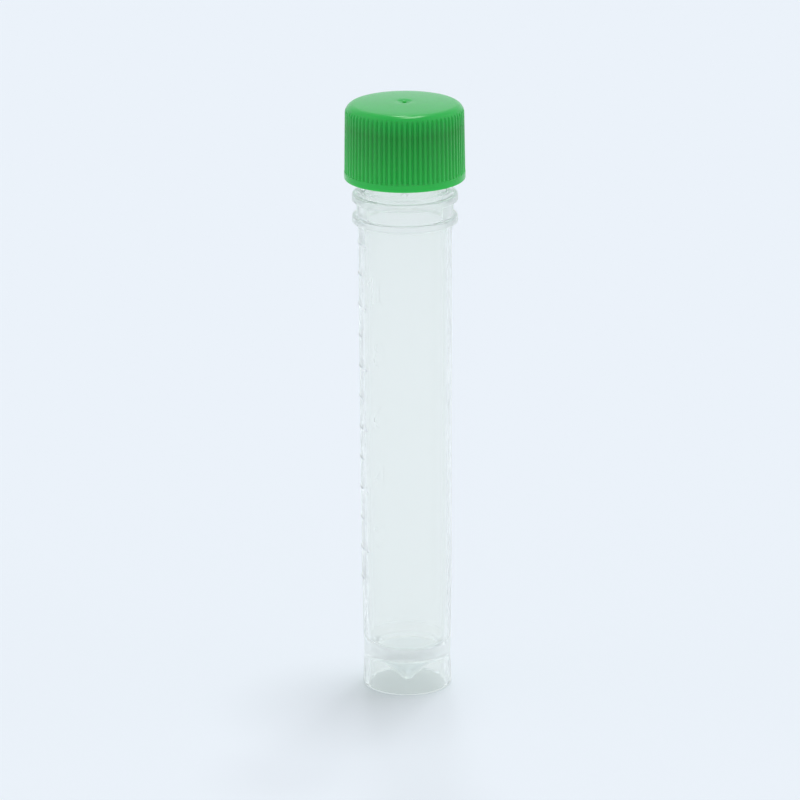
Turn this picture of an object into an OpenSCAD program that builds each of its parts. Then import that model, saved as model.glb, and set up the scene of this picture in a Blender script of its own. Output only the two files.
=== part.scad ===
// Self-standing screw-cap sample tube: a moulded tube, a ribbed screw cap and the sealing
// washer inside it. Millimetres, +Z up, origin at the centre of the ring that the tube stands on.

/* [Tube body] */
// Height of the mouth above the base
mouth_z = 103.1; // [95:0.1:125]
// Radius of the straight band that a rack grips, under the collars
body_r = 8.1; // [7.4:0.05:9.4]
// Length of that straight band
band_len = 17; // [5:0.5:30]
// How much narrower the body is where its long taper ends
taper = 0.18; // [0:0.02:0.3]
// Height where the long taper ends
taper_z = 19; // [14:0.5:30]
// Wall thickness of the body
wall = 0.95; // [0.7:0.05:1.3]

/* [Base] */
// How much narrower the body is at the waist, where the cone meets the skirt
waist = 0.48; // [0.2:0.02:0.7]
// Height of the waist
waist_z = 5; // [3:0.25:8]
// How much narrower the foot is than the body
foot_in = 0.3; // [0:0.05:0.6]
// Height of the widest part of the foot
foot_z = 1.2; // [0.6:0.1:2.5]
// Thickness of the skirt at the foot
skirt_wall = 1.1; // [0.9:0.05:1.6]
// Fillet round the outer edge of the foot
foot_edge = 0.4; // [0.1:0.05:0.5]
// Half of the cone's angle
cone_half = 44.5; // [38:0.5:52]
// Thickness of the cone
cone_wall = 1.1; // [0.8:0.05:1.3]
// Radius of the rounded tip, outside
tip_r = 1.6; // [1.5:0.05:2.2]
// Gap between the tip and the surface that the tube stands on
tip_gap = 0.5; // [0.3:0.05:2]
// Fillet between the bore and the cone
shoulder_fillet = 2; // [0.5:0.1:3]
// Fillet between the cone's underside and the skirt
skirt_fillet = 0.4; // [0.3:0.1:1.5]
// Radius of the gate mark under the tip
tube_gate_r = 0.5; // [0.3:0.05:0.8]

/* [Collars] */
// How far the collars stand out of the body
collar_out = 1.05; // [0.6:0.05:1.5]
// Thickness of a collar
collar_t = 1.15; // [0.8:0.05:1.6]
// Distance from one collar to the next
collar_pitch = 3.8; // [2.8:0.1:5]
// Number of collars
collars = 2; // [1:1:3]
// Gap between the upper collar and the cap's rim
rim_gap = 2.6; // [1.8:0.1:5]
// How much wider the stem between the collars is than the body
stem_out = 0.25; // [0:0.05:0.5]
// Fillet of a collar's upper edge
collar_edge = 0.25; // [0.1:0.05:0.35]
// Fillet of a collar's lower edge
collar_under = 0.1; // [0.05:0.05:0.35]
// Fillet between a collar and its stem
collar_root = 0.3; // [0.1:0.05:0.5]

/* [Neck and thread] */
// Wall thickness of the neck under the thread
neck_wall = 0.85; // [0.7:0.05:1.1]
// Height of the thicker foot of the neck, over the upper collar
neck_foot = 0.8; // [0.4:0.1:1.5]
// Fillet of the mouth's outer edge
mouth_edge = 0.25; // [0.15:0.05:0.35]
// Height of a thread ridge
thread_h = 0.62; // [0.4:0.02:0.7]
// Width of a thread ridge at its root
thread_root = 1.4; // [1.1:0.05:1.5]
// Width of a thread ridge at its crest
thread_crest = 0.6; // [0.4:0.05:0.7]
// Rise of the thread in one turn
lead = 3; // [2.8:0.1:4]
// Distance from the mouth down to the upper end of the tube's thread
thread_drop = 1.9; // [1.6:0.1:2.4]
// Distance from the cap's rim up to the lower end of the tube's thread
thread_start = 1; // [0.9:0.1:2]
// Distance from the cap's rim up to the lower end of the cap's thread
cap_thread_start = 1.3; // [1.2:0.1:3]

/* [Graduations] */
// Height of the lowest mark
mark_z = 20; // [14:0.5:30]
// Distance between marks
mark_pitch = 5.55; // [4:0.05:7]
// Number of marks, as far as they fit under the collars
marks = 12; // [0:1:14]
// Angle that a mark spans round the tube
mark_span = 24; // [8:1:40]
// Angle that every second mark spans
long_mark_span = 34; // [8:1:60]
// Angle of the marks' left end, from +X
mark_start = 177; // [0:1:359]
// Height that the marks stand out of the wall
mark_relief = 0.1; // [0.05:0.01:0.2]
// Width of a mark
mark_w = 0.35; // [0.2:0.05:0.6]

/* [Cap] */
// Height of the cap
cap_h = 13.6; // [12:0.1:16]
// How much higher the domed top is at its middle than it would be over the side
cap_crown = 0.43; // [0.2:0.01:0.6]
// Thickness of the cap at its rim, from its bore to its outside
cap_wall = 1.6; // [1.2:0.05:2.2]
// How much narrower the cap is at its top
cap_draft = 0.24; // [0:0.02:0.3]
// Fillet round the top
cap_fillet = 1.7; // [1:0.1:2.4]
// Thickness of the roof at its middle
roof = 1.7; // [1.4:0.05:2.2]
// Height of the smooth band at the rim
rim_band = 1.3; // [0.8:0.05:2]
// How far the band stands out past the ribs
rim_step = 0.05; // [0.02:0.01:0.12]
// Number of ribs
ribs = 72; // [48:2:84]
// Radius of the grooves between the ribs
groove_r = 0.24; // [0.2:0.01:0.32]
// Radius of the dimple round the gate mark
dimple_r = 1.45; // [1:0.05:2.5]
// Depth of that dimple
dimple_depth = 0.28; // [0.1:0.02:0.5]
// Chamfer and fillet of the cap's smaller edges
cap_edge = 0.3; // [0.15:0.05:0.4]
// Radius of the cap's gate mark
cap_gate_r = 0.36; // [0.2:0.02:0.6]
// Height of that mark over the top round it
cap_gate_up = 0.05; // [0.02:0.01:0.2]

/* [Seal] */
// Thickness of the sealing washer
seal_t = 1; // [0.6:0.05:1.4]
// Thickness of the cap's plug, the short ring inside the washer
plug_wall = 0.8; // [0.6:0.05:1]
// How far the plug reaches into the mouth
plug_reach = 1.1; // [0.7:0.1:1.6]
// How far the bead that holds the washer stands out of the cap's bore
bead = 0.35; // [0.25:0.05:0.45]

/* [Fits] */
// Gap between a thread's crest and the wall across from it
thread_gap = 0.25; // [0.2:0.01:0.3]
// Gap between the two threads along the axis, where they bear on each other
flank_gap = 0.15; // [0.12:0.01:0.25]
// Gap round the plug in the mouth
plug_gap = 0.15; // [0.1:0.01:0.25]
// Gap round the washer
seal_gap = 0.1; // [0.05:0.01:0.15]
// Gap above the washer and below it
seal_play = 0.04; // [0.02:0.01:0.06]

/* [Hidden] */
$fn = 96;
// Degrees of arc in one step of a rounded corner
ARC_STEP = 15;
// Degrees of turn in one step of a thread
THREAD_STEP = 15;
// Steps over which a thread's end grows to its full height, and the share of one that it starts at
RUN_IN = 3;
FIRST_STEP = 0.4;
// A little extra on a cutter or a root, so that no two faces fall together
EXTRA = 0.3;
// Smallest chamfer or step
STEP = 0.12;
// Flat rings of the dome inside the top's fillet, and the share of the radius that each spans
DOME_RINGS = 3;
DOME_STEP = 0.2;

// Heights: the cap hangs from the mouth, the collars from the cap's rim
seal_z = mouth_z + seal_play;
roof_z = seal_z + seal_t + seal_play;
cap_top = roof_z + roof;
cap_z = cap_top - cap_h;
collar_top = cap_z - rim_gap;
band_top = collar_top - collar_t - (collars - 1) * collar_pitch;
band_z = band_top - band_len;

// Radii: the neck grows from the bore, and the cap from the neck
bore_r = body_r - wall;
taper_r = body_r - taper;
waist_r = body_r - waist;
foot_r = body_r - foot_in;
skirt_r = foot_r - skirt_wall;
stem_r = body_r + stem_out;
collar_r = body_r + collar_out;
neck_r = bore_r + neck_wall;
cap_bore_r = neck_r + thread_h + thread_gap;
cap_r = cap_bore_r + cap_wall;
rib_r = cap_r - rim_step;
rib_top_r = cap_r - cap_draft;
plug_r = bore_r - plug_gap;

// The cap's thread runs just below the tube's: their flanks are parallel, flank_gap apart
thread_top = mouth_z - thread_drop;
flank_lean = (thread_root - thread_crest) / 2 / thread_h;
mesh_drop = thread_root - flank_lean * (thread_h + thread_gap) + flank_gap;
cap_thread_top = thread_top - mesh_drop;

// Cone: r = (z - apex) * slope is the line of its underside
slope = tan(cone_half);
tip_z = tip_gap + tip_r;
apex = tip_z - tip_r / sin(cone_half);
inner_apex = apex + cone_wall / sin(cone_half);
inner_tip_r = tip_r - cone_wall;

function unit(v) = v / norm(v);
// The shorter way round from angle a to angle b
function sweep(a, b) = b - a > 180 ? b - a - 360 : b - a < -180 ? b - a + 360 : b - a;

// A corner b between a and c, rounded to radius f, as points along its arc
function rounded(a, b, c, f) =
    let (
        u = unit(a - b),
        v = unit(c - b),
        half = acos(u * v) / 2,
        centre = b + unit(u + v) * f / sin(half),
        first = b + u * f / tan(half) - centre,
        last = b + v * f / tan(half) - centre,
        from = atan2(first.y, first.x),
        turn = sweep(from, atan2(last.y, last.x)),
        n = ceil(abs(turn) / ARC_STEP)
    )
    [for (i = [0:n]) centre + f * [cos(from + turn * i / n), sin(from + turn * i / n)]];

// An outline from corners of the form [radius, height, fillet]
function outline(corners) =
    let (last = len(corners) - 1, at = [for (c = corners) [c.x, c.y]])
    [
        for (i = [0:last])
            each corners[i][2] > 0 && i > 0 && i < last
                ? rounded(at[i - 1], at[i], at[i + 1], corners[i][2])
                : [at[i]]
    ];

// A round tip on the axis, from the axis to where it meets the cone
function tip(radius, centre_z) =
    let (turn = 90 - cone_half, n = ceil(turn / ARC_STEP))
    [for (i = [0:n]) [radius * sin(turn * i / n), centre_z - radius * cos(turn * i / n)]];

function reversed(points) = [for (i = [len(points) - 1:-1:0]) points[i]];

// A collar whose top is at height z, over a stem of radius below and under one of radius above
function collar(z, below, above) = [
    [below, z - collar_t, collar_root],
    [collar_r, z - collar_t, collar_under],
    [collar_r, z, collar_edge],
    [above, z, collar_root]
];

// Half section of the tube: tip, underside, skirt, foot, body, collars, neck, bore, cone
function tube_section() =
    let (
        under_tip = tip(tip_r, tip_z),
        bore_tip = tip(inner_tip_r, inner_apex + inner_tip_r / sin(cone_half)),
        under_end = under_tip[len(under_tip) - 1],
        bore_end = bore_tip[len(bore_tip) - 1],
        skirt_top_r = skirt_r - STEP
    )
    concat(
        under_tip,
        outline(concat(
            [
                [under_end.x, under_end.y, 0],
                [skirt_top_r, apex + skirt_top_r / slope, skirt_fillet],
                [skirt_r, 0, STEP],
                [foot_r, 0, foot_edge],
                [foot_r, foot_z, 0],
                [waist_r, waist_z, 0],
                [taper_r, taper_z, 0],
                [body_r, band_z, 0]
            ],
            [
                for (i = [0:collars - 1])
                    each collar(
                        band_top + collar_t + i * collar_pitch,
                        i == 0 ? body_r : stem_r,
                        stem_r
                    )
            ],
            [
                [stem_r, collar_top + neck_foot, 0],
                [neck_r, collar_top + neck_foot + stem_r - neck_r + STEP, 0],
                [neck_r, mouth_z, mouth_edge],
                [bore_r, mouth_z, STEP],
                [bore_r, band_z, 0],
                [taper_r - wall, taper_z, 0],
                [waist_r - wall, inner_apex + (waist_r - wall) / slope, shoulder_fillet],
                [bore_end.x, bore_end.y, 0]
            ]
        )),
        reversed(bore_tip)
    );

// A thread ridge: a trapezium carried up a right-handed helix from bottom_z to top_z, where it
// ends over +X, and sunk by EXTRA into its wall. out is 1 on a neck and -1 in a bore.
module thread_ridge(wall_r, bottom_z, top_z, out) {
    rise = top_z - bottom_z;
    steps = ceil(rise / lead * 360 / THREAD_STEP);
    rings = [
        for (i = [0:steps])
            let (
                share = min(1, (min(i, steps - i) + FIRST_STEP) / RUN_IN),
                z = bottom_z + rise * i / steps,
                angle = (z - top_z) * 360 / lead,
                root = wall_r - out * EXTRA,
                crest = wall_r + out * thread_h * share,
                wide = thread_root / 2,
                narrow = wide - flank_lean * thread_h * share
            )
            each [
                for (p = [[root, -wide], [crest, -narrow], [crest, narrow], [root, wide]])
                    [p.x * cos(angle), p.x * sin(angle), z + p.y]
            ]
    ];
    // Ends and sides are listed clockwise as seen from outside the ridge
    first = out > 0 ? [3, 2, 1, 0] : [0, 1, 2, 3];
    sides = [
        for (i = [0:steps - 1], k = [0:3])
            let (a = 4 * i + k, b = 4 * i + (k + 1) % 4)
            each out > 0
                ? [[a, b, b + 4], [a, b + 4, a + 4]]
                : [[a, a + 4, b + 4], [a, b + 4, b]]
    ];
    polyhedron(rings, concat([first], sides, [[for (v = reversed(first)) v + 4 * steps]]));
}

// The outside radius of the body at a height on the long taper or the straight band
function body_radius(z) = z > band_z
    ? body_r
    : taper_r + (body_r - taper_r) * (z - taper_z) / (band_z - taper_z);

// One raised mark: a short arc of a thin ring, part of it sunk into the wall
module mark(i) {
    z = mark_z + i * mark_pitch;
    span = i % 2 == 1 ? long_mark_span : mark_span;
    if (z < band_top - 2 * mark_w)
        rotate([0, 0, mark_start])
            rotate_extrude(angle = span)
                translate([body_radius(z) - wall / 2, z - mark_w / 2])
                    square([wall / 2 + mark_relief, mark_w]);
}

module tube() {
    color([0.86, 0.91, 0.91]) {
        rotate_extrude()
            polygon(tube_section());
        translate([0, 0, tip_gap - STEP])
            cylinder(h = EXTRA, r = tube_gate_r);
        thread_ridge(neck_r, cap_z + thread_start, thread_top, 1);
        for (i = [0:1:marks - 1])
            mark(i);
    }
}

module seal() {
    color([0.93, 0.93, 0.9])
        translate([0, 0, seal_z])
            difference() {
                cylinder(h = seal_t, r = cap_bore_r - seal_gap);
                translate([0, 0, -EXTRA])
                    cylinder(h = seal_t + 2 * EXTRA, r = plug_r + seal_gap);
            }
}

// Height of the cap's domed top at a radius
function dome(r) = cap_top - cap_crown * pow(r / rib_top_r, 2);

// Half section of the cap: inside from the axis to the rim, then outside back to the axis
function cap_section() =
    let (
        plug_end = mouth_z - plug_reach,
        bead_z = mouth_z - seal_play,
        bead_r = cap_bore_r - bead
    )
    outline([
        [0, roof_z, 0],
        [plug_r - plug_wall, roof_z, cap_edge],
        [plug_r - plug_wall, plug_end, 0],
        [plug_r - cap_edge, plug_end, 0],
        [plug_r, plug_end + cap_edge, 0],
        [plug_r, roof_z, 0],
        [cap_bore_r, roof_z, 0],
        [cap_bore_r, bead_z, 0],
        [bead_r, bead_z - bead, 0],
        [bead_r, bead_z - bead - STEP, 0],
        [cap_bore_r, bead_z - 2 * bead - STEP, 0],
        [cap_bore_r, cap_z + cap_edge, 0],
        [cap_bore_r + cap_edge, cap_z, 0],
        [cap_r, cap_z, cap_edge],
        [cap_r, cap_z + rim_band - rim_step, 0],
        [rib_r, cap_z + rim_band, 0],
        [rib_top_r, dome(rib_top_r), cap_fillet],
        for (i = [DOME_RINGS:-1:0])
            let (r = i * DOME_STEP * rib_top_r)
            [r, dome(r), 0]
    ]);

// One groove between two ribs: a thin round cutter that leans with the wall
module groove() {
    low = [rib_r, cap_z + rim_band];
    high = [rib_top_r, dome(rib_top_r)];
    translate([low.x, 0, low.y])
        rotate([0, -atan2(low.x - high.x, high.y - low.y), 0])
            cylinder(h = norm(high - low) + EXTRA, r = groove_r);
}

module cap() {
    // A ball this big cuts a dimple of the given radius and depth
    ball_r = (pow(dimple_r, 2) + pow(dimple_depth, 2)) / (2 * dimple_depth);
    color([0.18, 0.62, 0.29]) {
        difference() {
            rotate_extrude()
                polygon(cap_section());
            for (i = [0:ribs - 1])
                rotate([0, 0, (i + 0.5) * 360 / ribs])
                    groove();
            translate([0, 0, cap_top - dimple_depth + ball_r])
                sphere(r = ball_r);
        }
        translate([0, 0, cap_top - dimple_depth - EXTRA])
            cylinder(h = dimple_depth + EXTRA + cap_gate_up, r = cap_gate_r);
        thread_ridge(cap_bore_r, cap_z + cap_thread_start, cap_thread_top, -1);
    }
}

tube();
seal();
cap();
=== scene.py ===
# %% [markdown]
# # A self-standing screw-cap tube
#
# The object is a sample tube about as long as a finger: a clear-to-milky tube moulded in
# polypropylene, a ribbed green cap, and a silicone washer inside the cap that seals the mouth.
# All three are turned shapes, so each one is a profile carried round the Z axis. What breaks
# the turning, such as the thread, the ribs and the raised scale, is added to the radius as a
# relief that depends on the angle and the height.

import bpy
import numpy as np
from mathutils import Matrix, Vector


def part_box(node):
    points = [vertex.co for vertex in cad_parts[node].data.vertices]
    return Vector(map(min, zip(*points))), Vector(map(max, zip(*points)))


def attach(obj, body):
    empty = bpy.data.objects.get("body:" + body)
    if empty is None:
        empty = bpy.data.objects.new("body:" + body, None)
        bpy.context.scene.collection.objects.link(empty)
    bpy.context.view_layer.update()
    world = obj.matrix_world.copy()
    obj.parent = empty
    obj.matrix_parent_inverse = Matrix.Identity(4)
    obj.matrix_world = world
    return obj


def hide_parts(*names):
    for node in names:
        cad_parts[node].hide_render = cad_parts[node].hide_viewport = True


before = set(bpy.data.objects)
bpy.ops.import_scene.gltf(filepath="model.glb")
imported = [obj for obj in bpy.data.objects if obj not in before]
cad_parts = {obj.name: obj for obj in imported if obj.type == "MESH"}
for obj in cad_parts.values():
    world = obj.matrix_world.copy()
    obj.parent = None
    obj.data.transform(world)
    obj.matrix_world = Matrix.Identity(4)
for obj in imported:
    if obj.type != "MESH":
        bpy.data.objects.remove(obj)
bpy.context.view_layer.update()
MM = 0.001

# %% [markdown]
# ## Driving sizes
#
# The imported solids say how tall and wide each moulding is. What their boxes can't tell, such
# as a wall or a fillet, is named here in millimetres.

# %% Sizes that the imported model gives
GATE_UP = 0.05  # how far the gate mark in the cap's dimple stands above the top
tube_top, collar_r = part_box("tube")[1].z / MM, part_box("tube")[1].x / MM
seal_low, seal_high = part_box("seal")[0].z / MM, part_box("seal")[1].z / MM
cap_low, cap_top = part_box("cap")[0].z / MM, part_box("cap")[1].z / MM - GATE_UP
cap_r, seal_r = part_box("cap")[1].x / MM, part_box("seal")[1].x / MM
print(f"tube {tube_top:.2f} tall, cap {cap_low:.2f} to {cap_top:.2f}, collar radius {collar_r:.2f}")

# %% Sizes of the collars and the neck
COLLAR_OUT = 1.05  # how far a collar stands out of the body
COLLAR_T = 1.15  # thickness of a collar
COLLAR_PITCH = 3.8  # from one collar to the next
RIM_GAP = 2.6  # from the upper collar up to the cap's rim
STEM_OUT = 0.25  # how much wider the stem between the collars is than the body
NECK_FOOT = 0.8  # height of the neck's thicker foot, over the upper collar
NECK_WALL = 0.85

# %% Sizes of the body and the base
WALL = 0.95
BAND_LEN = 17.0  # the straight band under the collars, which a rack grips
TAPER, TAPER_Z = 0.18, 19.0  # how much narrower than the band, and at what height
WAIST, WAIST_Z = 0.48, 5.0  # the same where the cone meets the skirt
FOOT_IN, FOOT_Z, FOOT_EDGE = 0.3, 1.2, 0.4  # the same for the foot, and its fillet
SKIRT_WALL, SKIRT_DRAFT, SKIRT_FILLET, SKIRT_EDGE = 1.1, 0.12, 0.4, 0.2
CONE_HALF = np.radians(44.5)  # half of the cone's angle
CONE_WALL = 1.1
TIP_R, TIP_GAP = 1.6, 0.5  # the cone's round tip, and its gap to the ground
GATE_R, GATE_DEPTH, GATE_EDGE = 0.5, 0.12, 0.08  # the gate mark under the tip
SHOULDER_FILLET = 2.0  # between the bore and the cone

# %% Places on the tube
body_r = collar_r - COLLAR_OUT
bore_r = body_r - WALL
neck_r = bore_r + NECK_WALL
stem_r = body_r + STEM_OUT
foot_r = body_r - FOOT_IN
collar_top = cap_low - RIM_GAP
band_top = collar_top - COLLAR_T - COLLAR_PITCH
band_z = band_top - BAND_LEN
print(f"body radius {body_r:.2f}, bore radius {bore_r:.2f}, band from {band_z:.2f} up")

# %% Sizes of the threads, which both mouldings share
LEAD = 3.0  # rise in one turn
THREAD_H, THREAD_ROOT, THREAD_CREST = 0.62, 1.4, 0.6  # the ridge's height and two widths
THREAD_GAP = 0.25  # from a crest to the wall across from it
FLANK_GAP = 0.15  # between the flanks that bear
THREAD_DROP = 1.9  # from the mouth down to the upper end of the tube's thread
THREAD_START, CAP_THREAD_START = 1.0, 1.3  # from the cap's rim up to the lower ends
thread_top = tube_top - THREAD_DROP
thread_low = cap_low + THREAD_START
cap_thread_low = cap_low + CAP_THREAD_START
flank_lean = (THREAD_ROOT - THREAD_CREST) / 2 / THREAD_H
cap_thread_top = thread_top - THREAD_ROOT + flank_lean * (THREAD_H + THREAD_GAP) - FLANK_GAP
cap_bore_r = neck_r + THREAD_H + THREAD_GAP
print(f"the tube's thread runs from {thread_low:.2f} to {thread_top:.2f}")
print(f"the cap's thread runs from {cap_thread_low:.2f} to {cap_thread_top:.2f}")

# %% [markdown]
# ## From a section to a closed mesh
#
# A moulding has no sharp corner, because the steel of its mould is rounded. So a section is
# written as corners, each with its fillet, and one function turns each corner into an arc. A
# point is kept on the straight side just before and after each arc: the shading then turns
# on the arc alone, and the long sides stay flat to the eye.

# %% Rounded sections
ARC_STEP = np.radians(15)
FINE_STEP = np.radians(45)  # for fillets that are too small or too hidden to be looked at
GUARD_SHARE, GUARD_MOST = 0.3, 0.05  # how far from its arc that point is: a share of the fillet


def section(corners, step=ARC_STEP):
    """Points of a section given as corners (radius, height, fillet). The arc at a corner
    touches both of its sides at fillet / tan(half the angle between them) from the corner."""
    at = np.array([corner[:2] for corner in corners], float)
    made = [at[:1]]
    for i in range(1, len(corners) - 1):
        fillet = corners[i][2]
        if fillet == 0:
            made.append(at[i : i + 1])
            continue
        u, v = at[i - 1] - at[i], at[i + 1] - at[i]
        u, v = u / np.linalg.norm(u), v / np.linalg.norm(v)
        half = np.arccos(np.clip(u @ v, -1, 1)) / 2
        middle = (u + v) / np.linalg.norm(u + v)
        centre = at[i] + middle * fillet / np.sin(half)
        first, last = at[i] + u * fillet / np.tan(half), at[i] + v * fillet / np.tan(half)
        start = np.arctan2(*(first - centre)[::-1])
        turn = np.arctan2(*(last - centre)[::-1]) - start
        turn = (turn + np.pi) % (2 * np.pi) - np.pi
        angle = start + turn * np.linspace(0, 1, int(np.ceil(abs(turn) / step)) + 1)
        arc = centre + fillet * np.stack([np.cos(angle), np.sin(angle)], axis=1)
        guard = min(GUARD_SHARE * fillet, GUARD_MOST)
        made += [[first + u * guard], arc, [last + v * guard]]
    return np.concatenate(made + [at[-1:]])


# %% Sections spread over the angles
def spread(parts, angles):
    """The named parts of a section, one after the other, as grids with a row for each point
    and a column for each angle. Returns each row's part, the radii and the heights."""
    kinds = np.repeat(list(parts), [len(part) for part in parts.values()])
    points = np.concatenate(list(parts.values()))
    radii = np.repeat(points[:, :1], angles.size, axis=1)
    heights = np.repeat(points[:, 1:], angles.size, axis=1)
    return kinds, radii, heights


# %% Meshes from a grid of radii
def turned(name, radius, height, angle, poles=True, thickness=None):
    """A closed mesh with a point (r cos a, r sin a, z) for each row of the section and each
    angle. With poles, the first and the last row shrink to one point each on the axis;
    without, the last row is joined to the first one. Sizes are in millimetres. A thickness
    for each point goes into the attribute of that name."""
    rows, columns = radius.shape
    points = np.stack([radius * np.cos(angle), radius * np.sin(angle), height], axis=-1)
    inner = points[1:-1] if poles else points
    index = np.arange(inner.shape[0] * columns).reshape(-1, columns)
    low, high = (index[:-1], index[1:]) if poles else (index, np.roll(index, -1, axis=0))
    quads = np.stack([low, np.roll(low, -1, 1), np.roll(high, -1, 1), high], axis=-1)
    faces = quads.reshape(-1, 4).tolist()
    vertices = inner.reshape(-1, 3)
    if poles:
        hub = np.full(columns, len(vertices))
        vertices = np.concatenate([vertices, points[0, :1], points[-1, :1]])
        start, end = index[0], index[-1]
        faces += np.stack([hub, np.roll(start, -1), start], axis=-1).tolist()
        faces += np.stack([hub + 1, end, np.roll(end, -1)], axis=-1).tolist()
    mesh = bpy.data.meshes.new(name)
    mesh.from_pydata(vertices * MM, [], faces)
    mesh.polygons.foreach_set("use_smooth", np.ones(len(mesh.polygons), bool))
    if thickness is not None:
        values = np.append(thickness[1:-1].ravel(), [thickness[0, 0], thickness[-1, 0]])
        mesh.attributes.new("thickness", "FLOAT", "POINT").data.foreach_set("value", values)
    mesh.update()
    piece = bpy.data.objects.new(name, mesh)
    bpy.context.scene.collection.objects.link(piece)
    mesh.calc_loop_triangles()
    print(f"{name}: {rows} rows, {columns} columns, {len(mesh.loop_triangles)} triangles")
    return piece


# %% [markdown]
# ## The thread
#
# A thread is a ridge that climbs one lead in each turn. At each angle and height, the distance
# to the nearest turn along the axis gives the ridge's height, so the whole thread is one
# formula on the grid. It is a trapezium, and both of its ends grow out of the wall.

# %% The thread as a relief
RUN_IN = 0.4  # the rise over which an end of the thread grows to its full height


def thread(angle, height, low, top):
    """Ridge height at an angle and a height: a trapezium over the axial distance d to the
    nearest turn of z = top + lead * angle / 360 degrees, times a ramp at both ends."""
    climb = height - top - LEAD * angle / (2 * np.pi)
    away = (climb + LEAD / 2) % LEAD - LEAD / 2
    turn_z = height - away
    ramp = np.clip(np.minimum(turn_z - low, top - turn_z) / RUN_IN, 0, 1)
    flank = np.clip((THREAD_ROOT / 2 - np.abs(away)) / (THREAD_ROOT - THREAD_CREST) * 2, 0, 1)
    return THREAD_H * ramp * flank


# %% [markdown]
# ## The raised scale
#
# The scale is cut into the mould, so on the tube it stands a tenth of a millimetre proud. A
# mark or a numeral is everything that lies within half a stroke of a line or an arc, which is
# a distance, so it can be worked out for all points of the wall at once. The numerals are
# plain ones, made of straight lines and arcs.

# %% Distances to lines and arcs on the wall
MARK_W, MARK_RELIEF = 0.35, 0.1
SOFT = 0.12  # width of a stroke's sloping side


def to_line(x, y, start, end):
    """Distance from (x, y) to the line between two points: the nearest point is at the share
    of the line that the projection gives, kept between 0 and 1."""
    (ax, ay), (bx, by) = start, end
    share = ((x - ax) * (bx - ax) + (y - ay) * (by - ay)) / ((bx - ax) ** 2 + (by - ay) ** 2)
    share = np.clip(share, 0, 1)
    return np.hypot(x - ax - share * (bx - ax), y - ay - share * (by - ay))


def to_arc(x, y, centre, radius, start, sweep):
    """Distance from (x, y) to an arc: to the circle where the arc spans that direction, and
    to the arc's nearer end elsewhere. Angles are in degrees."""
    dx, dy = x - centre[0], y - centre[1]
    middle = np.radians(start + sweep / 2)
    off = np.abs((np.arctan2(dy, dx) - middle + np.pi) % (2 * np.pi) - np.pi)
    off = np.maximum(off - np.radians(sweep) / 2, 0)
    reach = np.hypot(dx, dy)
    return np.sqrt(np.maximum(reach**2 + radius**2 - 2 * reach * radius * np.cos(off), 0))


def raised(distance):
    """Relief of a stroke: full inside it, none outside, and a smooth step of SOFT between."""
    share = np.clip((MARK_W / 2 - distance) / SOFT + 0.5, 0, 1)
    return MARK_RELIEF * share**2 * (3 - 2 * share)


# %% Numerals from strokes, on a body one unit tall
DIGIT_WIDE, DIGIT_STEP = 0.6, 0.62
DIGITS = {
    "0": [
        (to_arc, (0.25, 0.75), 0.25, 0, 180),
        (to_line, (0, 0.75), (0, 0.25)),
        (to_arc, (0.25, 0.25), 0.25, 180, 180),
        (to_line, (0.5, 0.25), (0.5, 0.75)),
    ],
    "1": [(to_line, (0.25, 0), (0.25, 1)), (to_line, (0.25, 1), (0.05, 0.82))],
    "2": [
        (to_arc, (0.3, 0.7), 0.3, -35, 200),
        (to_line, (0.546, 0.528), (0, 0)),
        (to_line, (0, 0), (0.6, 0)),
    ],
    "4": [
        (to_line, (0.45, 0), (0.45, 1)),
        (to_line, (0.45, 1), (0, 0.32)),
        (to_line, (0, 0.32), (0.62, 0.32)),
    ],
    "6": [(to_arc, (0.3, 0.3), 0.3, 0, 360), (to_line, (0.04, 0.45), (0.42, 1))],
    "8": [(to_arc, (0.3, 0.28), 0.28, 0, 360), (to_arc, (0.3, 0.78), 0.22, 0, 360)],
}


def numeral(x, y, text, tall):
    """Distance from (x, y) to a numeral whose foot is at y = 0 and whose middle is at x = 0."""
    wide = DIGIT_WIDE + DIGIT_STEP * (len(text) - 1)
    near = np.full(np.broadcast(x, y).shape, np.inf)
    for place, digit in enumerate(text):
        u = x / tall + wide / 2 - DIGIT_STEP * place
        for form, *values in DIGITS[digit]:
            near = np.minimum(near, form(u, y / tall, *values) * tall)
    return near


# %% The scale as a relief
MARK_Z, MARK_PITCH, MARKS = 20.0, 5.55, 12
MARK_START, MARK_SPAN, LONG_SPAN = np.radians(177), np.radians(24), np.radians(34)
NUMERAL_AT, NUMERAL_TALL, NUMERAL_UP = np.radians(235), 4.3, 1.4
mark_heights = MARK_Z + MARK_PITCH * np.arange(MARKS)
numeral_heights = mark_heights[1:10:2] + NUMERAL_UP  # over every second mark, up to the tenth
print(f"{MARKS} marks from {mark_heights[0]:.2f} to {mark_heights[-1]:.2f}")


def scale_relief(angle, height):
    """Relief of all marks and numerals, on the wall unrolled to x = body radius * angle."""
    x = body_r * angle
    relief = np.zeros(np.broadcast(angle, height).shape)
    for i, z in enumerate(mark_heights):
        span = LONG_SPAN if i % 2 else MARK_SPAN
        ends = (body_r * MARK_START, z), (body_r * (MARK_START + span), z)
        relief = np.maximum(relief, raised(to_line(x, height, *ends)))
    for i, z in enumerate(numeral_heights):
        near = numeral(x - body_r * NUMERAL_AT, height - z, str(2 * i + 2), NUMERAL_TALL)
        relief = np.maximum(relief, raised(near))
    return relief


# %% [markdown]
# ## The tube
#
# One moulding: a cone that holds the sample, a skirt round it so that the tube stands by
# itself, a long body that tapers a little to leave the mould, two collars and a threaded neck.
# Its section runs from the tip of the cone on the axis, outwards under the cone, down the
# skirt and round the foot, up the outside, over the mouth, and down the bore to the axis.

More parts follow.
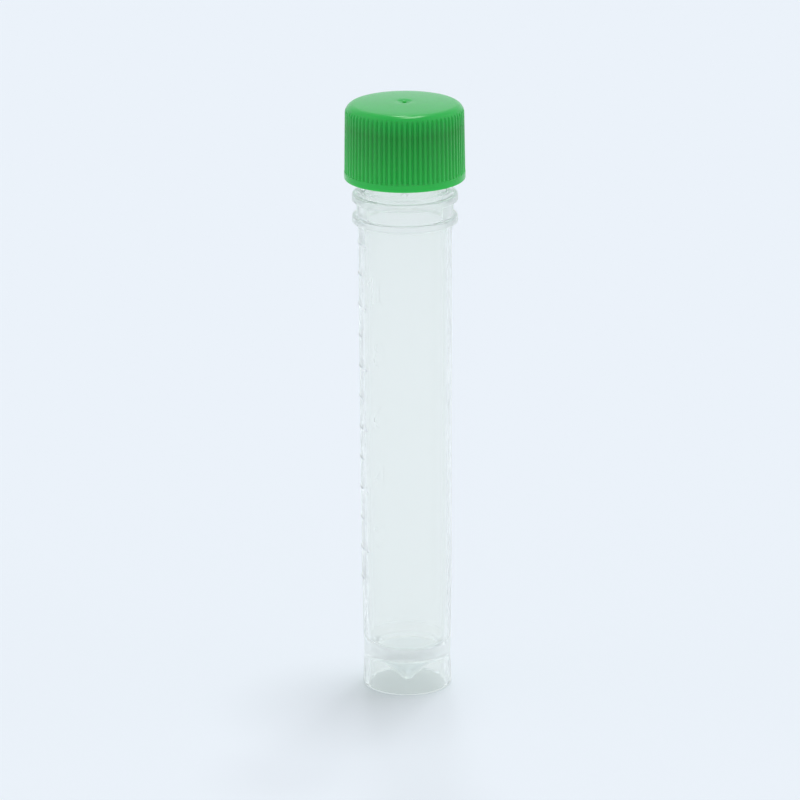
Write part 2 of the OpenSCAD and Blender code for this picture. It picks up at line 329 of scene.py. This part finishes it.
# %% Section of the tube, from the tip to the foot
TIP_POINTS = 5
slope = np.tan(CONE_HALF)
tip_z = TIP_GAP + TIP_R
apex = tip_z - TIP_R / np.sin(CONE_HALF)
inner_apex = apex + CONE_WALL / np.sin(CONE_HALF)
gate_z = TIP_GAP - GATE_DEPTH
skirt_r = foot_r - SKIRT_WALL
skirt_top_r = skirt_r - SKIRT_DRAFT
tip_turn = np.linspace(np.arcsin(GATE_R / TIP_R), np.pi / 2 - CONE_HALF, TIP_POINTS)
tip_arc = np.stack([TIP_R * np.sin(tip_turn), tip_z - TIP_R * np.cos(tip_turn)], axis=1)
underside = section([(0, gate_z, 0), (GATE_R, gate_z, GATE_EDGE), (*tip_arc[0], 0)])
skirt = section(
    [
        (*tip_arc[-1], 0),
        (skirt_top_r, apex + skirt_top_r / slope, SKIRT_FILLET),
        (skirt_r, 0, SKIRT_EDGE),
        (foot_r, 0, FOOT_EDGE),
        (foot_r, FOOT_Z, 0),
    ]
)

# %% Section of the outside wall, with rows close together where the scale is
WALL_START, WALL_END, COLLARS_START = 0.6, 0.4, 0.38  # over the foot, and under the band's top
WALL_ROWS = 24
MARK_ROWS, MARK_REACH = 7, 0.3  # rows over each mark, and how far they reach from its middle
NUMERAL_ROW, NUMERAL_LOW, NUMERAL_HIGH = 0.15, 0.2, 0.35  # their spacing, and how far past it
BASE_ROWS = 5.2, 9.4, 15  # from, to and number, where the plastic gets thicker to the root
CLOSEST_ROWS = 0.04
wall_z = np.array([FOOT_Z, WAIST_Z, TAPER_Z, band_z, band_top - WALL_END])
wall_radius = np.array([foot_r, body_r - WAIST, body_r - TAPER, body_r, body_r])
mark_rows = np.linspace(-MARK_REACH, MARK_REACH, MARK_ROWS)
numeral_rows = np.arange(-NUMERAL_LOW, NUMERAL_TALL + NUMERAL_HIGH, NUMERAL_ROW)
rows = np.concatenate(
    [
        np.linspace(FOOT_Z + WALL_START, band_top - WALL_END, WALL_ROWS),
        np.linspace(*BASE_ROWS),
        (mark_heights[:, None] + mark_rows).ravel(),
        (numeral_heights[:, None] + numeral_rows).ravel(),
    ]
)
rows = np.unique(rows.round(3))
apart = np.append(True, np.diff(rows) > CLOSEST_ROWS)
rows = rows[(rows < band_top - COLLARS_START) & apart]
wall = np.stack([np.interp(rows, wall_z, wall_radius), rows], axis=1)

# %% Section of the collars
ROOT, EDGE, LOW_EDGE = 0.3, 0.25, 0.1
NECK_RAMP, NECK_FILLET = 0.45, 0.15


def collar(top, below, above):
    """Corners of one collar: out under it, round its rim and back in over it."""
    return [
        (below, top - COLLAR_T, ROOT),
        (collar_r, top - COLLAR_T, LOW_EDGE),
        (collar_r, top, EDGE),
        (above, top, ROOT),
    ]


neck_z = collar_top + NECK_FOOT
collars = section(
    [
        (body_r, band_top - COLLARS_START, 0),
        *collar(collar_top - COLLAR_PITCH, body_r, stem_r),
        *collar(collar_top, stem_r, stem_r),
        (stem_r, neck_z, NECK_FILLET),
        (neck_r, neck_z + NECK_RAMP, NECK_FILLET),
        (neck_r, neck_z + 2 * NECK_RAMP, 0),
    ]
)

# %% Section of the neck and the bore
NECK_START, NECK_END, NECK_ROW = 1.0, 0.5, 0.14  # over its foot, under the mouth, row to row
MOUTH_START, MOUTH_EDGE, MOUTH_INNER_EDGE = 0.45, 0.25, 0.15
TIP_POINT_R, TIP_POINT_SHARE = 0.15, 0.96  # one point on the round inside of the tip
neck_rows = np.arange(neck_z + NECK_START, tube_top - NECK_END, NECK_ROW)
neck = np.stack([np.full(neck_rows.size, neck_r), neck_rows], axis=1)
shoulder_r = body_r - WAIST - WALL
inner_tip_r = TIP_R - CONE_WALL
bore_tip_z = inner_apex + inner_tip_r / np.sin(CONE_HALF)
bore = section(
    [
        (neck_r, tube_top - MOUTH_START, 0),
        (neck_r, tube_top, MOUTH_EDGE),
        (bore_r, tube_top, MOUTH_INNER_EDGE),
        (bore_r, band_z, 0),
        (body_r - TAPER - WALL, TAPER_Z, 0),
        (shoulder_r, inner_apex + shoulder_r / slope, SHOULDER_FILLET),
        (inner_tip_r * np.cos(CONE_HALF), bore_tip_z - inner_tip_r * np.sin(CONE_HALF), 0),
        (TIP_POINT_R, bore_tip_z - inner_tip_r * TIP_POINT_SHARE, 0),
        (0, bore_tip_z - inner_tip_r, 0),
    ]
)

# %% The mould mark on the neck
MOULD_MARK_AT, MOULD_MARK_Z, MOULD_MARK_R = np.radians(269), 91.4, 0.5


def mould_mark(angle, height):
    """Relief of the small plain ring that the mould leaves: a stroke along a circle."""
    away = np.hypot(neck_r * (angle - MOULD_MARK_AT), height - MOULD_MARK_Z)
    return raised(np.abs(away - MOULD_MARK_R))


# %% The tube's grid, with the columns close together over the scale and the mould mark
COLUMNS = (174, 254, 0.8), (254, 264, 2.5), (264, 274, 0.8), (274, 534, 3.25)  # from, to, step
tube_parts = {
    "underside": underside,
    "tip": tip_arc[1:-1],
    "skirt": skirt,
    "wall": wall,
    "collars": collars,
    "neck": neck,
    "bore": bore,
}
angles = np.radians(np.concatenate([np.arange(*stretch) for stretch in COLUMNS]))
kinds, radii, heights = spread(tube_parts, angles)
on_wall, on_neck = kinds == "wall", kinds == "neck"
radii[on_wall] += scale_relief(angles, heights[on_wall])
radii[on_neck] += thread(angles, heights[on_neck], thread_low, thread_top)
radii[on_neck] += mould_mark(angles, heights[on_neck])

# %% The thickness of the plastic at each point, and the tube's mesh
ROOT_WALL = 4.5  # where the cone, the skirt and the body meet
ROOT_BLEND = 1.0  # the height over which the thickness changes to that
COLLAR_HAZE = 1.25  # a collar is seen along its ring too, so it looks thicker than it is
root_z, shoulder_z = apex + skirt_r / slope, inner_apex + shoulder_r / slope
thickness = np.interp(
    heights,
    (root_z - ROOT_BLEND, root_z, shoulder_z, shoulder_z + ROOT_BLEND),
    (SKIRT_WALL, ROOT_WALL, ROOT_WALL, WALL),
)
on_collars = (kinds == "collars") | on_neck
thickness[on_collars] = np.maximum(COLLAR_HAZE * (radii[on_collars] - bore_r), WALL)
thickness[(kinds == "underside") | (kinds == "tip") | (kinds == "bore")] = CONE_WALL
tube = turned("tube_moulding", radii, heights, angles, thickness=thickness)
print(f"plastic {thickness.min():.2f} to {thickness.max():.2f} mm thick")

# %% [markdown]
# ## The cap
#
# The cap is one moulding too. Outside it has a grip of fine ribs between a smooth band at the
# rim and a rounded top, inside it has the thread, the plug and a bead that keeps the washer
# in. The grooves between the ribs are straight, so each runs out where the top curves away
# from it: the radius is the smaller one of the turned outline and the floor of the groove.

# %% Sizes of the cap's outside
DRAFT = 0.24  # how much narrower the cap is at its top
CAP_FILLET = 1.7  # round the top
CAP_CROWN = 0.43  # how much higher the dome is at its middle than over the side
RIM_BAND, RIM_STEP = 1.3, 0.05  # the smooth band's height, and how far it stands out
RIBS, GROOVE_R, RIB_CROWN = 72, 0.24, 0.05
DIMPLE_R, DIMPLE_DEPTH, NUB_R = 1.45, 0.28, 0.36  # the gate mark is a nub in a dimple
rib_r, rib_top_r = cap_r - RIM_STEP, cap_r - DRAFT
band_end = cap_low + RIM_BAND

# %% Sizes of the cap's inside
ROOF = 1.7
PLUG_WALL, PLUG_REACH, PLUG_GAP = 0.8, 1.1, 0.15  # the plug goes into the mouth with a gap
BEAD, BEAD_FLAT = 0.35, 0.12  # how far the bead stands in, and the height of its flat
SEAL_SLACK = 0.04  # over the washer and under it
CAP_EDGE, RIM_EDGE, SMALL_EDGE, FINE_EDGE = 0.3, 0.15, 0.1, 0.05
roof_z = cap_top - ROOF
plug_r = bore_r - PLUG_GAP
plug_end = tube_top - PLUG_REACH
bead_z, bead_r = tube_top - SEAL_SLACK, cap_bore_r - BEAD
bead_low = bead_z - 2 * BEAD - BEAD_FLAT
print(f"roof at {roof_z:.2f}, plug radius {plug_r:.2f}, bead radius {bead_r:.2f}")

# %% Section of the cap's inside
BEAD_END = 0.4  # how far under the bead's two slopes its section ends
THREAD_ROOM, CAP_THREAD_ROW = 0.9, 0.28  # past the thread's two ends, and from row to row
BEAD_EDGE, BAND_EDGE, RIM_START = 0.08, 0.04, 0.4
roof = section(
    [
        (0, roof_z, 0),
        (plug_r - PLUG_WALL, roof_z, CAP_EDGE),
        (plug_r - PLUG_WALL, plug_end, SMALL_EDGE),
        (plug_r - CAP_EDGE, plug_end, SMALL_EDGE),
        (plug_r, plug_end + CAP_EDGE, SMALL_EDGE),
        (plug_r, roof_z, SMALL_EDGE),
        (cap_bore_r, roof_z, SMALL_EDGE),
        (cap_bore_r, bead_z, BEAD_EDGE),
        (bead_r, bead_z - BEAD, FINE_EDGE),
        (bead_r, bead_z - BEAD - BEAD_FLAT, FINE_EDGE),
        (cap_bore_r, bead_low, SMALL_EDGE),
        (cap_bore_r, bead_z - 2 * BEAD - BEAD_END, 0),
    ],
    step=FINE_STEP,
)
bore_rows = np.arange(cap_thread_top + THREAD_ROOM, cap_thread_low - THREAD_ROOM, -CAP_THREAD_ROW)
cap_bore = np.stack([np.full(bore_rows.size, cap_bore_r), bore_rows], axis=1)
rim = section(
    [
        (cap_bore_r, cap_low + RIM_START, 0),
        (cap_bore_r, cap_low + CAP_EDGE, SMALL_EDGE),
        (cap_bore_r + CAP_EDGE, cap_low, RIM_EDGE),
        (cap_r, cap_low, CAP_EDGE),
        (cap_r, band_end - RIM_STEP, BAND_EDGE),
        (rib_r, band_end, 0),
    ]
)

# %% Section of the cap's side and shoulder
SIDE_ROWS = (0.04, 0.1, 0.18, 0.28, 0.4, 0.6, 2.0, 4.5, 7.0)  # heights over the band
SHOULDER_STEP = np.radians(4.5)
DOME_SHARE = 0.6  # the share of the radius at which the shoulder's section ends


def dome(r):
    """Height of the domed top: a parabola that falls by CAP_CROWN out to the side."""
    return cap_top - CAP_CROWN * (r / rib_top_r) ** 2


def side_radius(height):
    """Radius of the ribbed side, a straight line from the band to the top's corner."""
    share = (height - band_end) / (dome(rib_top_r) - band_end)
    return rib_r + (rib_top_r - rib_r) * share


side_z = band_end + np.array(SIDE_ROWS)
side = np.stack([side_radius(side_z), side_z], axis=1)
dome_r = DOME_SHARE * rib_top_r
shoulder = section(
    [(*side[-1], 0), (rib_top_r, dome(rib_top_r), CAP_FILLET), (dome_r, dome(dome_r), 0)],
    step=SHOULDER_STEP,
)[1:-1]

# %% Section of the top, with the dimple and the nub
TOP_START, TOP_END, TOP_ROWS = 0.2, 1.8, 6  # in from the shoulder, and a radius
DIMPLE_START, DIMPLE_END, DIMPLE_ROWS = 1.7, 0.12, 12  # a radius, and out from the nub
LIP, LIP_OUT = 0.02, 0.1  # depth and width of the soft roll round the dimple
NUB_FOOT, NUB_EDGE = 0.1, 0.12
NUB_SINK, NUB_FOOT_SINK = 0.9, 0.93  # how deep the nub's foot is, as shares of the dimple
top_r = np.concatenate(
    [
        np.linspace(shoulder[-1, 0] - TOP_START, TOP_END, TOP_ROWS),
        np.linspace(DIMPLE_START, NUB_R + DIMPLE_END, DIMPLE_ROWS),
    ]
)
bowl = np.clip(1 - (top_r / DIMPLE_R) ** 2, 0, 1)
lip = LIP * np.exp(-((top_r - DIMPLE_R - LIP_OUT) ** 2) / (2 * LIP_OUT**2))
top = np.stack([top_r, dome(top_r) - DIMPLE_DEPTH * bowl - lip], axis=1)
nub = section(
    [
        (NUB_R + NUB_FOOT, cap_top - DIMPLE_DEPTH * NUB_FOOT_SINK, 0),
        (NUB_R, cap_top - DIMPLE_DEPTH * NUB_SINK, FINE_EDGE),
        (NUB_R, cap_top + GATE_UP, NUB_EDGE),
        (0, cap_top + GATE_UP, 0),
    ],
    step=FINE_STEP,
)

# %% The grip
GROOVE_START = 0.3  # height over the band in which a groove reaches its full depth
PITCH = 2 * np.pi / RIBS
RIB_COLUMNS = np.array([-0.31, -0.24, -0.13, 0.0, 0.13, 0.24, 0.31, 0.5])  # in pitches


def grip(angle, height):
    """Radius of the ribs and grooves: the wall's straight line, less a half round groove of
    GROOVE_R half way between two ribs, and less a slight crown on each rib."""
    line = side_radius(height)
    away = ((angle / PITCH) % 1 - 0.5) * PITCH * rib_r
    groove = np.sqrt(np.clip(GROOVE_R**2 - away**2, 0, None))
    run_out = np.clip((height - band_end) / GROOVE_START, 0, 1)
    crown = RIB_CROWN * (1 - np.abs(away) / (PITCH * rib_r / 2)) ** 2
    return line - (groove + crown) * np.sqrt(run_out)


# %% The cap's mesh
cap_parts = {
    "roof": roof,
    "bore": cap_bore,
    "rim": rim,
    "side": side,
    "shoulder": shoulder,
    "top": top,
    "nub": nub,
}
cap_angles = (PITCH * (np.arange(RIBS)[:, None] + 0.5 + RIB_COLUMNS)).ravel()
kinds, radii, heights = spread(cap_parts, cap_angles)
in_bore, on_grip = kinds == "bore", (kinds == "side") | (kinds == "shoulder")
radii[in_bore] -= thread(cap_angles, heights[in_bore], cap_thread_low, cap_thread_top)
radii[on_grip] = np.minimum(radii[on_grip], grip(cap_angles, heights[on_grip]))
cap = turned("cap_moulding", radii, heights, cap_angles)

# %% [markdown]
# ## The washer
#
# The washer is a ring of silicone rubber, pressed into the roof of the cap between the plug
# and the bead. It could be a plain tube of four faces, but rubber is moulded with soft edges,
# so its section has a fillet at each corner. It starts and ends in the middle of the underside.

# %% The washer's mesh
SEAL_GAP, SEAL_FILLET = 0.1, 0.12  # the gap is the one to the plug
SEAL_SEAM, SEAL_COLUMN = 0.05, 3  # the seam is the last side of the ring, the column is degrees
seal_in = plug_r + SEAL_GAP
seal_middle = (seal_in + seal_r) / 2
ring = section(
    [
        (seal_middle, seal_low, 0),
        (seal_r, seal_low, SEAL_FILLET),
        (seal_r, seal_high, SEAL_FILLET),
        (seal_in, seal_high, SEAL_FILLET),
        (seal_in, seal_low, SEAL_FILLET),
        (seal_middle - SEAL_SEAM, seal_low, 0),
    ]
)
seal_angles = np.radians(np.arange(0, 360, SEAL_COLUMN))
_, radii, heights = spread({"ring": ring}, seal_angles)
seal = turned("washer", radii, heights, seal_angles, poles=False)

# %% Each piece takes the place and the body of its solid
for piece, name in ((tube, "tube"), (cap, "cap"), (seal, "seal")):
    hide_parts(name)
    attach(piece, name)

# %% [markdown]
# ## Colours and nodes
#
# Colours are written as they look on a screen, in hex, and one function turns them into the
# linear light that a shader works with. One more function adds any node with its values and
# its links, so that each material below reads as a list of what it is made of.


# %% Colours and nodes
def linear(code):
    """The linear RGBA of an sRGB hex colour: c / 12.92 under 0.04045, and
    ((c + 0.055) / 1.055) ** 2.4 above it."""
    c = np.array([int(code[i : i + 2], 16) for i in (1, 3, 5)]) / 255
    return (*np.where(c <= 0.04045, c / 12.92, ((c + 0.055) / 1.055) ** 2.4).tolist(), 1.0)


def add_node(tree, kind, *values, **named):
    """Adds a node. The values go to its inputs in order, since some inputs share a name. The
    named ones go to the input of that name, with _ for a space, or else to the property. A
    value is plain, or it is what gets linked: an output, or a node for its first output."""
    node = tree.nodes.new(kind)
    given = list(zip(node.inputs, values))
    for name, value in named.items():
        socket = node.inputs.get(name.replace("_", " "))
        if socket:
            given.append((socket, value))
        else:
            setattr(node, name, value)
    for socket, value in given:
        source = value.outputs[0] if isinstance(value, bpy.types.Node) else value
        if isinstance(source, bpy.types.NodeSocket):
            tree.links.new(source, socket)
        else:
            socket.default_value = source
    return node


def new_material(name):
    """An empty node material and its node tree."""
    material = bpy.data.materials.new(name)
    material.use_nodes = True
    material.node_tree.nodes.clear()
    return material, material.node_tree


def dress(mesh, material, surface):
    """Links the surface to the material's output and puts the material on the mesh."""
    tree = material.node_tree
    add_node(tree, "ShaderNodeOutputMaterial", Surface=surface)
    mesh.materials.append(material)
    print(f"{material.name}: {len(tree.nodes)} nodes, on {mesh.name}")


def grain(tree, size, stretch=1.0):
    """Noise in object space, as a value of 0 to 1. One grain is about size millimetres across
    and stretch times as long along Z, since the noise makes one grain per unit of scale."""
    place = add_node(tree, "ShaderNodeTexCoord").outputs["Object"]
    mapped = add_node(tree, "ShaderNodeMapping", Vector=place, Scale=(1, 1, 1 / stretch))
    return add_node(tree, "ShaderNodeTexNoise", Vector=mapped, Scale=1 / (size * MM))


# %% [markdown]
# ## Natural polypropylene
#
# The tube is injection moulded from polypropylene without pigment. The plastic is a little
# milky, because light scatters at its crystals, and the milk gets denser with the thickness.
# So the material is clear plastic with a share of haze, and the share is the thickness at
# each point times a density. Where the wall is seen at a slant, the way through it is longer,
# so the share is divided by the cosine and the sides of the tube look milkier. The haze is
# half a surface that sends light back and half one that lets it through. The outside copies
# a polished mould, with faint waves along the flow.
#
# Three shares follow the kind of ray, since a lamp's light can't be traced through clear
# walls within a few bounces. Light on its way to the floor takes the tint of the wall, which
# sets how dark the shadow is. Light that lands on the haze passes nearly whole. A ray that
# has met more than a few walls goes straight on, where it would otherwise end in black.

# %% The clear plastic
polypropylene, tree = new_material("natural_polypropylene")
flow = grain(tree, size=3.0, stretch=6.0)
waves = add_node(tree, "ShaderNodeBump", Height=flow, Distance=0.002 * MM, Strength=1.0)
gloss = add_node(tree, "ShaderNodeMapRange", Value=flow, To_Min=0.07, To_Max=0.11)
clear = add_node(
    tree,
    "ShaderNodeBsdfPrincipled",
    Base_Color=linear("#FDFEFB"),
    Transmission_Weight=1.0,
    IOR=1.49,
    Roughness=gloss,
    Normal=waves,
)

# %% The haze and its share
HAZE_PER_MM, LEAST_COSINE = 0.1, 0.15
back = add_node(tree, "ShaderNodeBsdfDiffuse", Color=linear("#FEFFFF"))
through = add_node(tree, "ShaderNodeBsdfTranslucent", Color=linear("#FEFFFF"))
haze = add_node(tree, "ShaderNodeMixShader", 0.5, back, through)
thick = add_node(tree, "ShaderNodeAttribute", attribute_name="thickness").outputs["Fac"]
straight_on = add_node(tree, "ShaderNodeMath", thick, HAZE_PER_MM, operation="MULTIPLY")
slant = add_node(tree, "ShaderNodeLayerWeight", Blend=0.5).outputs["Facing"]
cosine = add_node(tree, "ShaderNodeMath", 1.0, slant, operation="SUBTRACT")
cosine = add_node(tree, "ShaderNodeMath", cosine, LEAST_COSINE, operation="MAXIMUM")
share = add_node(
    tree, "ShaderNodeMath", straight_on, cosine, operation="DIVIDE", use_clamp=True
)
plastic = add_node(tree, "ShaderNodeMixShader", share, clear, haze)

# %% What each kind of ray sees of it
MOST_WALLS = 4.5
path = add_node(tree, "ShaderNodeLightPath").outputs
shade = add_node(tree, "ShaderNodeBsdfTransparent", Color=linear("#CCD0C6"))
inner = add_node(tree, "ShaderNodeBsdfTransparent", Color=linear("#FDFFFE"))
open_way = add_node(tree, "ShaderNodeBsdfTransparent", Color=linear("#F6F9FB"))
deep = add_node(
    tree, "ShaderNodeMath", path["Ray Depth"], MOST_WALLS, operation="GREATER_THAN"
)
surface = add_node(tree, "ShaderNodeMixShader", deep, plastic, open_way)
surface = add_node(tree, "ShaderNodeMixShader", path["Is Shadow Ray"], surface, shade)
surface = add_node(tree, "ShaderNodeMixShader", path["Is Diffuse Ray"], surface, inner)
dress(tube.data, polypropylene, surface)

# %% [markdown]
# ## Green polyethylene
#
# The cap is moulded from high-density polyethylene with a green pigment. Light goes a little
# way in, which softens the ribs and the corners, so the shader scatters under the surface.
# The steel of the mould was blasted, which leaves a satin skin: a fine grain in the bump and
# in the roughness. The green is painted with light and shade along the height: lighter towards
# the rim, where the wall has no roof behind it and lets more light in from the tube, darker in
# painted shade over the upper side of the grip, and lighter again up on the shoulder and the top.

# %% The cap's colour with painted light and shade, from the rim up to the roof
# Painted light and shade: a lighter green for the rim's glow, a darker one over the upper side, a
# lighter one on the top
CAP_GREEN_AND_PAINTED_LIGHT = (0.0, "#2BC452"), (0.25, "#29B94C"), (0.8, "#23A140"), (1.0, "#22B64B")
pigmented, tree = new_material("green_polyethylene")
place = add_node(tree, "ShaderNodeTexCoord").outputs["Object"]
up = add_node(tree, "ShaderNodeSeparateXYZ", Vector=place).outputs["Z"]
climb = add_node(
    tree, "ShaderNodeMapRange", Value=up, From_Min=cap_low * MM, From_Max=roof_z * MM
)
colour = add_node(tree, "ShaderNodeValToRGB", Fac=climb)
stops = colour.color_ramp.elements
for at, code in CAP_GREEN_AND_PAINTED_LIGHT[1:-1]:
    stops.new(at)
for stop, (at, code) in zip(stops, CAP_GREEN_AND_PAINTED_LIGHT):
    stop.color = linear(code)

# %% The cap's material
blast = grain(tree, size=0.12)
satin = add_node(tree, "ShaderNodeMapRange", Value=blast, To_Min=0.16, To_Max=0.22)
skin = add_node(tree, "ShaderNodeBump", Height=blast, Distance=0.001 * MM, Strength=1.0)
cap_shader = add_node(
    tree,
    "ShaderNodeBsdfPrincipled",
    Base_Color=colour,
    Roughness=satin,
    Normal=skin,
    IOR=1.5,
    Specular_IOR_Level=0.3,
    Subsurface_Weight=0.5,
    Subsurface_Radius=(0.3, 1.0, 0.4),
    Subsurface_Scale=1.5 * MM,
)
dress(cap.data, pigmented, cap_shader)

# %% [markdown]
# ## Silicone rubber
#
# The washer is unfilled silicone: milky, soft to the eye and without gloss. A fine grain in
# the roughness keeps it apart from the hard plastics.

# %% The washer's material
silicone, tree = new_material("silicone_rubber")
powder = grain(tree, size=0.2)
dull = add_node(tree, "ShaderNodeMapRange", Value=powder, To_Min=0.55, To_Max=0.7)
skin = add_node(tree, "ShaderNodeBump", Height=powder, Distance=0.004 * MM, Strength=1.0)
rubber = add_node(
    tree,
    "ShaderNodeBsdfPrincipled",
    Base_Color=linear("#E8E6DF"),
    Roughness=dull,
    Normal=skin,
    IOR=1.41,
    Subsurface_Weight=0.3,
    Subsurface_Radius=(1.0, 0.9, 0.8),
    Subsurface_Scale=0.8 * MM,
)
dress(seal.data, silicone, rubber)

# %% [markdown]
# ## The floor
#
# The tube stands on a sheet of pale matt paper that runs out of sight, so the floor and the
# space behind it are one colour. The paper is a plain diffuse surface with a shallow grain,
# and it keeps the shadow.

# %% The sheet
BACKDROP = "#EBF2FA"
SHEET = 4.0  # metres from the middle to a side
FLOOR_GAP = 0.02  # millimetres under the tube's foot
ends = (-SHEET, -SHEET), (SHEET, -SHEET), (SHEET, SHEET), (-SHEET, SHEET)
corners = [(x, y, -FLOOR_GAP * MM) for x, y in ends]
floor_mesh = bpy.data.meshes.new("floor")
floor_mesh.from_pydata(corners, [], [(0, 1, 2, 3)])
floor = bpy.data.objects.new("floor", floor_mesh)
bpy.context.scene.collection.objects.link(floor)

# %% The paper
paper, tree = new_material("matt_paper")
fibre = grain(tree, size=0.6)
tooth = add_node(tree, "ShaderNodeBump", Height=fibre, Distance=0.002 * MM, Strength=1.0)
matt = add_node(tree, "ShaderNodeBsdfDiffuse", Color=linear(BACKDROP), Normal=tooth)
dress(floor_mesh, paper, matt)

# %% [markdown]
# ## Light
#
# The object stands in a tent of white cloth, which is the world and gives a little over half
# of the light, the same from all sides. Five lamps add the direction. A softbox hangs almost
# straight above, a little behind and to the right. It is a sun with a wide disc, so the
# shadow is short, soft and darkest at the foot. Two panels at the sides keep the left and
# right walls light. Two small lamps behind leave the thin streaks on the cap's corner. Each
# lamp's share is the part of the floor's light that it gives. All shares add up to 1, so the
# paper renders just as its colour is written, and where the camera looks past the floor it
# sees that same colour.

# %% World
FILL = 0.55
world = bpy.data.worlds.new("tent")
bpy.context.scene.world = world
world.use_nodes = True
tree = world.node_tree
tree.nodes.clear()
cloth = add_node(tree, "ShaderNodeBackground", Color=(1, 1, 1, 1), Strength=FILL)
beyond = add_node(tree, "ShaderNodeBackground", Color=linear(BACKDROP), Strength=1.0)
path = add_node(tree, "ShaderNodeLightPath").outputs
seen = path["Is Camera Ray"]
for ray in ("Is Glossy Ray", "Is Transmission Ray"):
    seen = add_node(tree, "ShaderNodeMath", seen, path[ray], operation="MAXIMUM")
sky = add_node(tree, "ShaderNodeMixShader", seen, cloth, beyond)
add_node(tree, "ShaderNodeOutputWorld", Surface=sky)


# %% Lamps
def add_sun(name, share, elevation, azimuth, disc):
    """A sun that gives its share of the floor's light, from an elevation and an azimuth in
    degrees. A share of 1 is an energy of pi / sin(elevation)."""
    lamp = bpy.data.lights.new(name, "SUN")
    lamp.angle = np.radians(disc)
    lamp.energy = share * np.pi / np.sin(np.radians(elevation))
    holder = bpy.data.objects.new(name, lamp)
    bpy.context.scene.collection.objects.link(holder)
    holder.rotation_euler = (0, np.radians(90 - elevation), np.radians(azimuth))
    print(f"{name}: energy {lamp.energy:.3f}")


BACK, SIDE, LEFT, RIGHT = 0.055, 0.045, 0.04, 0.05
MAIN = 1 - FILL - BACK - SIDE - LEFT - RIGHT
add_sun("softbox", MAIN, elevation=81, azimuth=54, disc=18)
add_sun("back_lamp", BACK, elevation=56, azimuth=92, disc=7)
add_sun("side_lamp", SIDE, elevation=64, azimuth=66, disc=7)
add_sun("left_panel", LEFT, elevation=30, azimuth=185, disc=60)
add_sun("right_panel", RIGHT, elevation=30, azimuth=-5, disc=60)

# %% [markdown]
# ## The camera
#
# A long lens a good way off, a little above the tube and tilted down to it, so that the base
# and the cap are both seen from above at almost the same angle. It is rolled by a third of a
# degree, since the tube doesn't stand quite upright in the frame.

# %% The camera
AWAY, ABOVE, ASIDE = 800.0, 302.0, -1.055
PITCH_DOWN, ROLL = np.radians(17.34), np.radians(-0.33)
SENSOR, LENS_RATIO = 36, 5.99875  # the lens is that many times as long as the sensor is wide
camera = bpy.data.objects.new("camera", bpy.data.cameras.new("camera"))
bpy.context.scene.collection.objects.link(camera)
camera.data.sensor_width = SENSOR
camera.data.lens = SENSOR * LENS_RATIO
camera.data.clip_start = 0.01
turned_by = Matrix.Rotation(np.pi / 2 - PITCH_DOWN, 4, "X") @ Matrix.Rotation(ROLL, 4, "Z")
camera.matrix_world = Matrix.Translation((ASIDE * MM, -AWAY * MM, ABOVE * MM)) @ turned_by
bpy.context.scene.camera = camera
bpy.context.scene.view_settings.view_transform = "Standard"
print(f"lens {camera.data.lens:.1f} mm, {AWAY:.0f} mm away")
